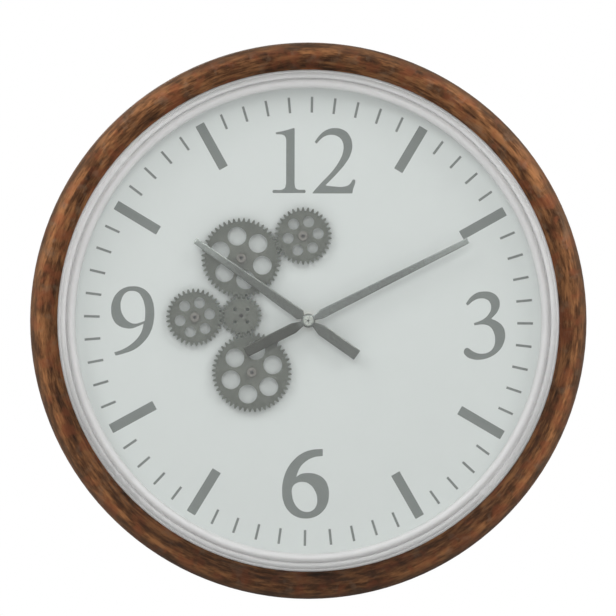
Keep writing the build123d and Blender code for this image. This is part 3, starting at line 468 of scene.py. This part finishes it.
def wound_wire(name, tones):
    """Copper wire in turns side by side along the coil."""
    low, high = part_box(name)
    size = high - low
    axis = max(range(3), key=lambda k: size[k])
    sheet = finish("wound_wire")
    place = sheet.place()
    turns = sheet.math("SINE", place.parts()[axis] * (math.tau / WIRE_PITCH))
    # Darker between the turns: painted shade in the grooves between the wires
    base = sheet.shaded(tones.copper, turns * 0.25 + 0.75)
    normal = sheet.bump(turns, 0.5, 0.08 * MM)
    return sheet.surface(base, {"Metallic": 0.8, "Roughness": 0.35, "Normal": normal})


def post_steel(tones):
    """Plated steel at the back, blackened in front of the dial, near black so that it also paints the shade
    inside the hollow posts.
    """
    sheet = finish("post_steel")
    place = sheet.place()
    rear = place.parts()[1].step(FACE_Y, FACE_Y + 2 * MM)
    grit = sheet.noise(place, FINE_GRIT, 2.0)
    base = sheet.mix(tones.dark_steel_and_shade, tones.steel, rear)
    return sheet.surface(base, {"Metallic": rear, "Roughness": grit * 0.16 + 0.35})


# Pieces and groups of like pieces

class CLOCK_OT_wood_rim(bpy.types.Operator):
    """Stain the wooden rim"""

    bl_idname = "clock.wood_rim"
    bl_label = "Wooden rim"

    def execute(self, context):
        dress(stained_wood(context.scene.clock_colours), "wood_frame")
        return {"FINISHED"}


class CLOCK_OT_silver_ring(bpy.types.Operator):
    """Lacquer the stepped ring"""

    bl_idname = "clock.silver_ring"
    bl_label = "Stepped ring"

    def execute(self, context):
        dress(silver_lacquer(context.scene.clock_colours), "stepped_ring")
        return {"FINISHED"}


class CLOCK_OT_glass(bpy.types.Operator):
    """Set the glass and its seal"""

    bl_idname = "clock.glass"
    bl_label = "Glass"

    def execute(self, context):
        tones = context.scene.clock_colours
        dress(clear_glass(), "front_glass")
        rubber = satin("rubber", tones.rubber, 0.75)
        dress(rubber, "glass_seal", "movement_gasket")
        return {"FINISHED"}


class CLOCK_OT_dial(bpy.types.Operator):
    """Finish the dial and the board behind it"""

    bl_idname = "clock.dial"
    bl_label = "Dial"

    def execute(self, context):
        tones = context.scene.clock_colours
        dress(satin("dial_paper", tones.dial, 0.55, cloud=0.015), "dial_face")
        dress(fibreboard(tones), "dial_board")
        return {"FINISHED"}


# Numerals, drawn on a grid with x to the right and y down. A point is a corner or lies on a curve.
CORNER = "VECTOR"
CURVE = "AUTO"

ONE = [
    [
        (CORNER, 9.4, 11.2), (CURVE, 24, 8.2), (CORNER, 37.4, 4.2), (CORNER, 38.8, 5.2),
        (CORNER, 38.6, 90), (CURVE, 41, 98.4), (CORNER, 54.8, 100.4), (CORNER, 56, 103),
        (CORNER, 54.8, 105.4), (CORNER, 5.2, 105.4), (CORNER, 4, 103), (CORNER, 5.2, 100.6),
        (CURVE, 22.4, 98.4), (CORNER, 25.4, 90), (CORNER, 25.6, 21.6), (CURVE, 22.6, 16.2),
        (CORNER, 9.4, 14),
    ],
]
TWO = [
    [
        (CORNER, 69.8, 25.8), (CURVE, 79, 14), (CURVE, 89, 7), (CURVE, 101, 4.5),
        (CURVE, 115, 7.5), (CURVE, 124, 16), (CURVE, 128.3, 31), (CURVE, 125.6, 45.5),
        (CURVE, 118, 59), (CURVE, 104.5, 75), (CORNER, 86.4, 93.6), (CURVE, 100, 95.2),
        (CURVE, 116, 95.4), (CURVE, 123.6, 92), (CORNER, 129.4, 84.2), (CORNER, 133, 85),
        (CURVE, 132.6, 90.6), (CURVE, 129.6, 99), (CORNER, 128.3, 106), (CORNER, 66.8, 106),
        (CORNER, 66.8, 104.4), (CURVE, 80, 89.6), (CURVE, 95, 74), (CURVE, 107.6, 56.5),
        (CURVE, 114.2, 40), (CURVE, 113.6, 27), (CURVE, 107.6, 18.6), (CURVE, 96.4, 15),
        (CURVE, 86, 17), (CURVE, 79, 22), (CORNER, 72.8, 29),
    ],
]
THREE = [
    [
        (CORNER, 10.6, 32.4), (CURVE, 18.6, 21.6), (CURVE, 29, 14), (CURVE, 43, 11.2),
        (CURVE, 56.6, 13.4), (CURVE, 66.6, 21.4), (CURVE, 70, 33), (CURVE, 66.4, 45.6),
        (CORNER, 55, 59), (CURVE, 66, 64), (CURVE, 75, 72), (CURVE, 79.4, 86),
        (CURVE, 76.6, 102), (CURVE, 68, 115.4), (CURVE, 54, 125.4), (CURVE, 38, 130.2),
        (CURVE, 22.4, 129.6), (CURVE, 10.6, 123.6), (CURVE, 7, 116), (CURVE, 12.6, 109.8),
        (CURVE, 20, 114), (CURVE, 29, 118.6), (CURVE, 40, 120), (CURVE, 52, 116.4),
        (CURVE, 59.4, 108), (CURVE, 61.8, 96), (CURVE, 59.6, 83), (CURVE, 53, 73),
        (CURVE, 43, 69), (CORNER, 25.6, 70.4), (CORNER, 24.6, 66.6), (CURVE, 40, 60.4),
        (CURVE, 50, 51.6), (CURVE, 54.6, 41), (CURVE, 52.4, 30), (CURVE, 45, 24.4),
        (CURVE, 36, 23.4), (CURVE, 25.6, 26.6), (CORNER, 13.8, 36),
    ],
]
SIX = [
    [
        (CORNER, 83.6, 6.4), (CORNER, 83.6, 18.6), (CURVE, 69, 20.6), (CURVE, 55.6, 27),
        (CURVE, 45, 37), (CORNER, 36.8, 55.4), (CURVE, 45, 50.4), (CURVE, 57, 48.4),
        (CURVE, 72, 50.4), (CURVE, 86, 59), (CURVE, 92.8, 72), (CURVE, 94.4, 86),
        (CURVE, 91.4, 103), (CURVE, 82, 117), (CURVE, 68, 125.6), (CURVE, 52, 128),
        (CURVE, 37, 124.6), (CURVE, 23, 114), (CURVE, 15, 99), (CURVE, 12.4, 80),
        (CURVE, 14.6, 60), (CURVE, 21.6, 41), (CURVE, 33, 25.4), (CURVE, 47.6, 14),
        (CURVE, 64, 8),
    ],
    [
        (CURVE, 50, 64), (CURVE, 61, 68.4), (CURVE, 69.6, 79), (CURVE, 73.8, 93),
        (CURVE, 71.4, 107), (CURVE, 64, 114.6), (CURVE, 54, 116.4), (CURVE, 43, 112),
        (CURVE, 34, 101), (CURVE, 29.8, 86), (CURVE, 30.8, 73), (CURVE, 38, 66),
    ],
]
NINE = [
    [
        (CORNER, 16, 123.4), (CORNER, 18.6, 129), (CURVE, 33, 125), (CURVE, 50, 118.6),
        (CURVE, 65, 107), (CURVE, 77.4, 90), (CURVE, 83.4, 70), (CURVE, 84.2, 52),
        (CURVE, 81.4, 35), (CURVE, 74, 21.4), (CURVE, 62, 13), (CURVE, 48, 10.6),
        (CURVE, 34, 13), (CURVE, 21, 22), (CURVE, 13, 36), (CURVE, 10.8, 52),
        (CURVE, 14.4, 67.4), (CURVE, 23, 77.4), (CURVE, 35, 82), (CURVE, 46, 82.4),
        (CURVE, 56, 79), (CORNER, 66, 74.6), (CURVE, 63, 87), (CURVE, 55.6, 99),
        (CURVE, 44, 110), (CURVE, 30, 118.4),
    ],
    [
        (CURVE, 47, 18.6), (CURVE, 56, 20.8), (CURVE, 63, 29), (CURVE, 67.6, 42),
        (CURVE, 69, 56), (CORNER, 68, 69.6), (CURVE, 60, 72.6), (CURVE, 50, 74.4),
        (CURVE, 40, 70.4), (CURVE, 31, 60), (CURVE, 27, 47), (CURVE, 29.2, 31),
        (CURVE, 37, 20.8),
    ],
]

# Each numeral's outlines, its grid step, and where the grid's corner lies from the hands' axis, in mm
NUMERALS = {
    "numeral_twelve": (ONE + TWO, 0.6035, -36.3, 183.9),
    "numeral_three": (THREE, 0.5366, 141.9, 34.0),
    "numeral_six": (SIX, 0.5366, -31.4, -116.3),
    "numeral_nine": (NINE, 0.5501, -191.0, 38.7),
}


def numeral_mesh(name, outlines, step, left, top, thickness):
    """Filled outline with the thickness of the ink, in front of the dial."""
    curve = bpy.data.curves.new(name, "CURVE")
    curve.dimensions = "2D"
    curve.fill_mode = "BOTH"
    curve.resolution_u = 6
    curve.extrude = thickness / 2
    for outline in outlines:
        spline = curve.splines.new("BEZIER")
        spline.bezier_points.add(len(outline) - 1)
        spline.use_cyclic_u = True
        for point, (kind, x, y) in zip(spline.bezier_points, outline):
            point.co = ((left + x * step) * MM, (top - y * step) * MM, 0)
            point.handle_left_type = kind
            point.handle_right_type = kind
    drawn = bpy.data.objects.new(name, curve)
    bpy.context.scene.collection.objects.link(drawn)
    bpy.context.view_layer.update()
    seen = drawn.evaluated_get(bpy.context.evaluated_depsgraph_get())
    mesh = bpy.data.meshes.new_from_object(seen)
    bpy.data.objects.remove(drawn)
    bpy.data.curves.remove(curve)
    upright = Matrix.Rotation(math.pi / 2, 4, "X")
    mesh.transform(Matrix.Translation((0, FACE_Y - thickness / 2, 0)) @ upright)
    return mesh


def marks_mesh(name, angles, inner, outer, width, thickness):
    """Straight marks that point to the hands' axis, at angles clockwise from twelve o'clock."""
    made = bmesh.new()
    size = Matrix.Diagonal((width, thickness, outer - inner, 1))
    out = Matrix.Translation((0, FACE_Y - thickness / 2, (inner + outer) / 2))
    for angle in angles:
        bmesh.ops.create_cube(made, size=1, matrix=Matrix.Rotation(angle, 4, "Y") @ out @ size)
    mesh = bpy.data.meshes.new(name)
    made.to_mesh(mesh)
    made.free()
    return mesh


def minute_angle(minute, turn, pitch):
    """Clockwise from twelve o'clock. The marks are laid from there both ways and meet at six."""
    if minute == 30:
        return turn + math.pi
    return turn + pitch * (minute if minute < 30 else minute - 60)


class CLOCK_OT_dial_print(bpy.types.Operator):
    """Print the minute ticks, the hour bars and the numerals on the dial"""

    bl_idname = "clock.dial_print"
    bl_label = "Dial print"

    def execute(self, context):
        sizes = context.scene.clock_print
        ink = satin("printed_ink", context.scene.clock_colours.ink, 0.6, cloud=0.05)
        minutes = [minute_angle(k, sizes.turn, sizes.pitch) for k in range(60)]
        bars = [angle for k, angle in enumerate(minutes) if k % 5 == 0 and k % 15 != 0]
        ticks = [angle for angle in minutes if angle not in bars]
        meshes = {
            "minute_ticks": marks_mesh(
                "minute_ticks", ticks, sizes.tick_inner, sizes.tick_outer, sizes.tick_width, sizes.ink
            ),
            "hour_bars": marks_mesh(
                "hour_bars", bars, sizes.bar_inner, sizes.bar_outer, sizes.bar_width, sizes.ink
            ),
        }
        for name, (outlines, step, left, top) in NUMERALS.items():
            meshes[name] = numeral_mesh(name, outlines, step, left, top, sizes.ink)
        centre = Matrix.Translation((sizes.centre_x, 0, sizes.centre_z))
        for name, mesh in meshes.items():
            mesh.transform(centre)
            mesh_piece(name, mesh, ink, "case")
        return {"FINISHED"}


def gear_plastic(name, tones):
    """Dark moulded plastic of one gear, darker towards its teeth and with faint turning marks."""
    low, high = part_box(name)
    centre = (low + high) / 2
    sheet = finish(name + "_plastic")
    place = sheet.place()
    x, _, z = place.parts()
    across = x - centre.x
    up = z - centre.z
    radius = (across * across + up * up) ** 0.5
    drift = sheet.noise(place, 70.0, 3.0)
    turning = sheet.noise(sheet.vector(radius, 0.0, 0.0), TURNING_MARKS, 2.0)
    width = high.x - low.x
    edge = radius.step(width * 0.2, width * 0.46)
    base = sheet.mix(tones.gear, tones.gear_edge, edge)
    base = sheet.shaded(base, drift * 0.3 + turning * 0.12 + 0.79)
    normal = sheet.bump(turning, 0.2, 0.05 * MM)
    return sheet.surface(base, {"Roughness": drift * 0.2 + 0.36, "Normal": normal})


class CLOCK_OT_gears(bpy.types.Operator):
    """Finish the gears on the dial and what carries them"""

    bl_idname = "clock.gears"
    bl_label = "Gears"

    def execute(self, context):
        tones = context.scene.clock_colours
        idle = ("upper", "lower", "left", "top")
        for name in (*idle, "drive"):
            dress(gear_plastic(name + "_gear", tones), name + "_gear")
        dress(satin("cap_plastic", tones.cap, 0.4), "gear_post_caps")
        dress(satin("spacer_plastic", tones.black, 0.5), "gear_post_spacers")
        posts = [name + "_gear_post" for name in idle]
        dress(post_steel(tones), "drive_shaft", *posts)
        return {"FINISHED"}


def hand_lacquer(name, tail, middle, tip):
    """Lacquer of one hand, whose tone changes from its tail to its tip: painted shade towards the tail and a
    painted sheen towards the tip.
    """
    low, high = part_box(name)
    along = ((low + high) * Vector((1, 0, 1))).normalized()
    reach = max(low.x * along.x, high.x * along.x) + max(low.z * along.z, high.z * along.z)
    sheet = finish(name + "_lacquer")
    place = sheet.place()
    x, _, z = place.parts()
    out = x * along.x + z * along.z
    # Painted shade towards the tail and a painted sheen towards the tip
    base = sheet.mix(tail, middle, out.step(-14 * MM, -2 * MM))
    base = sheet.mix(base, tip, out.step(reach * 0.5, reach))
    grit = sheet.noise(place, LACQUER_GRIT, 2.0)
    drift = sheet.noise(place, 40.0, 2.0)
    base = sheet.shaded(base, drift * 0.2 + 0.9)
    normal = sheet.bump(grit, 0.15, 0.03 * MM)
    return sheet.surface(base, {"Metallic": 0.6, "Roughness": grit * 0.1 + 0.22, "Normal": normal})


class CLOCK_OT_hands(bpy.types.Operator):
    """Finish the hands and their nut"""

    bl_idname = "clock.hands"
    bl_label = "Hands"

    def execute(self, context):
        tones = context.scene.clock_colours
        minute = hand_lacquer("minute_hand", tones.hand_tail_shade, tones.hand, tones.hand_tip_sheen)
        dress(minute, "minute_hand")
        hour = hand_lacquer("hour_hand", tones.hour_hand, tones.hour_hand, tones.hand_tip_sheen)
        dress(hour, "hour_hand")
        dress(satin("hand_nut_plate", tones.nut, 0.28, 0.5), "hand_nut")
        # The arbor's near-black end paints the shade in the nut's hole
        dress(satin("arbor_steel", tones.dark_steel_and_shade, 0.45, 0.6), "minute_arbor")
        return {"FINISHED"}


class CLOCK_OT_works(bpy.types.Operator):
    """Finish the movement and the motor drive behind the dial"""

    bl_idname = "clock.works"
    bl_label = "Movement and drive"

    def execute(self, context):
        tones = context.scene.clock_colours
        black = satin("black_case", tones.black, 0.5, grit_scale=CASE_GRIT, grit_depth=0.08)
        dress(
            black, "movement_front_case", "movement_rear_case", "drive_case", "drive_cover", "switch_body"
        )
        dress(satin("knob_plastic", tones.knob, 0.45), "setting_knob")
        white = satin("moulded_works", tones.works, 0.45)
        dress(white, "hour_wheel", "motion_wheel", "output_wheel", "idler_wheel", "power_switch")
        brass = satin("turned_brass", tones.brass, 0.3, 1.0)
        dress(brass, "movement_washer", "movement_nut", "drive_bush", "motor_pinion")
        steel = satin("plated_steel", tones.steel, 0.35, 1.0)
        dress(steel, "idler_pin", "drive_motor", "movement_contacts", "drive_contacts")
        dress(satin("circuit_mask", tones.circuit, 0.4), "circuit_board")
        dress(wound_wire("step_motor_coil", tones), "step_motor_coil")
        # Each cell's long axis, and whether its positive end points forward along it
        cells = {"movement_cell": (0, True), "drive_cell_left": (2, False), "drive_cell_right": (2, True)}
        for name, (axis, forward) in cells.items():
            dress(cell_wrap(name, tones, axis, forward), name)
        return {"FINISHED"}


class CLOCK_OT_fixings(bpy.types.Operator):
    """Finish the clips, the hanger and the screws"""

    bl_idname = "clock.fixings"
    bl_label = "Clips, hanger and screws"

    def execute(self, context):
        zinc = satin("zinc_plate", context.scene.clock_colours.steel, 0.38, 1.0)
        dress(
            zinc, "board_clips", "board_clip_screws", "hanger_plate", "hanger_screws", "drive_screws",
            "drive_cover_screws",
        )
        return {"FINISHED"}


# Stage

SEEN_RAYS = ("Is Camera Ray", "Is Glossy Ray", "Is Transmission Ray")
WHITE = (1, 1, 1, 1)
FLOOR_TONE = (0.86, 0.86, 0.86, 1)
FLOOR_FADE = (1.0, 2.2)

# Each lamp's place, its width and the stage's property for its strength
LAMPS = {
    "front_lamp": ((0, -4.2, 1.9), 2.2, "front_level"),
    "left_lamp": ((-3.3, -3.0, 3.3), 2.0, "side_level"),
    "right_lamp": ((3.3, -3.0, 3.3), 2.0, "side_level"),
    "back_lamp": ((-0.9, 2.6, 1.6), 1.4, "back_level"),
}


def studio_world(level):
    """Even light from all round, which the camera, metal and glass see as plain white."""
    sheet = Sheet(bpy.data.worlds.new("studio"))
    strength = sheet.ray(*SEEN_RAYS) * (1.0 - level) + level
    ground = sheet.link("ShaderNodeBackground", {}, {"Color": WHITE, "Strength": strength})
    sheet.add("ShaderNodeOutputWorld", {}, {"Surface": ground})
    return sheet.owner


def pale_floor(drop, reach):
    """Pale floor below the clock that fades to white far away."""
    level = -RIM_RADIUS - drop
    square = ((-1, -1), (1, -1), (1, 1), (-1, 1))
    corners = [(x * reach, y * reach, level) for x, y in square]
    mesh = bpy.data.meshes.new("floor")
    mesh.from_pydata(corners, [], [(0, 1, 2, 3)])
    floor = bpy.data.objects.new("floor", mesh)
    bpy.context.scene.collection.objects.link(floor)
    sheet = finish("pale_floor")
    x, y, _ = sheet.place().parts()
    far = ((x * x + y * y) ** 0.5).step(*FLOOR_FADE) * sheet.ray(*SEEN_RAYS)
    matt = sheet.link("ShaderNodeBsdfDiffuse", {}, {"Color": FLOOR_TONE})
    white = sheet.link("ShaderNodeEmission", {}, {"Color": WHITE, "Strength": 1.0})
    mesh.materials.append(
        sheet.output(sheet.link("ShaderNodeMixShader", {}, {0: far, 1: matt, 2: white}))
    )


def soft_lamp(name, place, size, level):
    """Square lamp aimed at the wall behind the hands. At level 1 a white wall that faces it looks white."""
    aim = -Vector(place)
    lamp = bpy.data.lights.new(name, "AREA")
    lamp.shape = "SQUARE"
    lamp.size = size
    lamp.energy = level * math.pi * math.pi * aim.length_squared
    stand = bpy.data.objects.new(name, lamp)
    stand.location = place
    stand.rotation_euler = aim.to_track_quat("-Z", "Y").to_euler()
    bpy.context.scene.collection.objects.link(stand)


class CLOCK_OT_stage(bpy.types.Operator):
    """Set up the camera, the light and the floor"""

    bl_idname = "clock.stage"
    bl_label = "Stage"

    def execute(self, context):
        scene = context.scene
        stage = scene.clock_stage
        scene.view_settings.view_transform = "Standard"
        scene.world = studio_world(stage.world_level)
        pale_floor(stage.floor_drop, stage.floor_reach)
        for name, (place, size, level) in LAMPS.items():
            soft_lamp(name, place, size, getattr(stage, level))
        camera = bpy.data.cameras.new("camera")
        camera.sensor_fit = "HORIZONTAL"
        camera.lens = camera.sensor_width * stage.distance / stage.picture_width
        camera.clip_end = 100.0
        stand = bpy.data.objects.new("camera", camera)
        stand.location = (stage.centre_x, RIM_FRONT_Y - stage.distance, stage.centre_z)
        stand.rotation_euler = (math.pi / 2, 0, 0)
        scene.collection.objects.link(stand)
        scene.camera = stand
        return {"FINISHED"}


class CLOCK_PT_panel(bpy.types.Panel):
    """Everything that dresses the clock"""

    bl_idname = "CLOCK_PT_panel"
    bl_label = "Clock"
    bl_space_type = "VIEW_3D"
    bl_region_type = "UI"
    bl_category = "Clock"

    def draw(self, context):
        for operator in OPERATORS:
            self.layout.operator(operator.bl_idname)
        for name, group in GROUPS.items():
            column = self.layout.column()
            for key in group.__annotations__:
                column.prop(getattr(context.scene, name), key)


GROUPS = {"clock_print": ClockPrint, "clock_colours": ClockColours, "clock_stage": ClockStage}
OPERATORS = (
    CLOCK_OT_wood_rim,
    CLOCK_OT_silver_ring,
    CLOCK_OT_glass,
    CLOCK_OT_dial,
    CLOCK_OT_dial_print,
    CLOCK_OT_gears,
    CLOCK_OT_hands,
    CLOCK_OT_works,
    CLOCK_OT_fixings,
    CLOCK_OT_stage,
)


def register():
    for made in (*GROUPS.values(), *OPERATORS, CLOCK_PT_panel):
        bpy.utils.register_class(made)
    for name, group in GROUPS.items():
        setattr(bpy.types.Scene, name, bpy.props.PointerProperty(type=group))


def unregister():
    for name in GROUPS:
        delattr(bpy.types.Scene, name)
    for made in (CLOCK_PT_panel, *reversed(OPERATORS), *GROUPS.values()):
        bpy.utils.unregister_class(made)


def main():
    register()
    for operator in OPERATORS:
        group, name = operator.bl_idname.split(".")
        getattr(getattr(bpy.ops, group), name)()


if __name__ == "__main__":
    main()
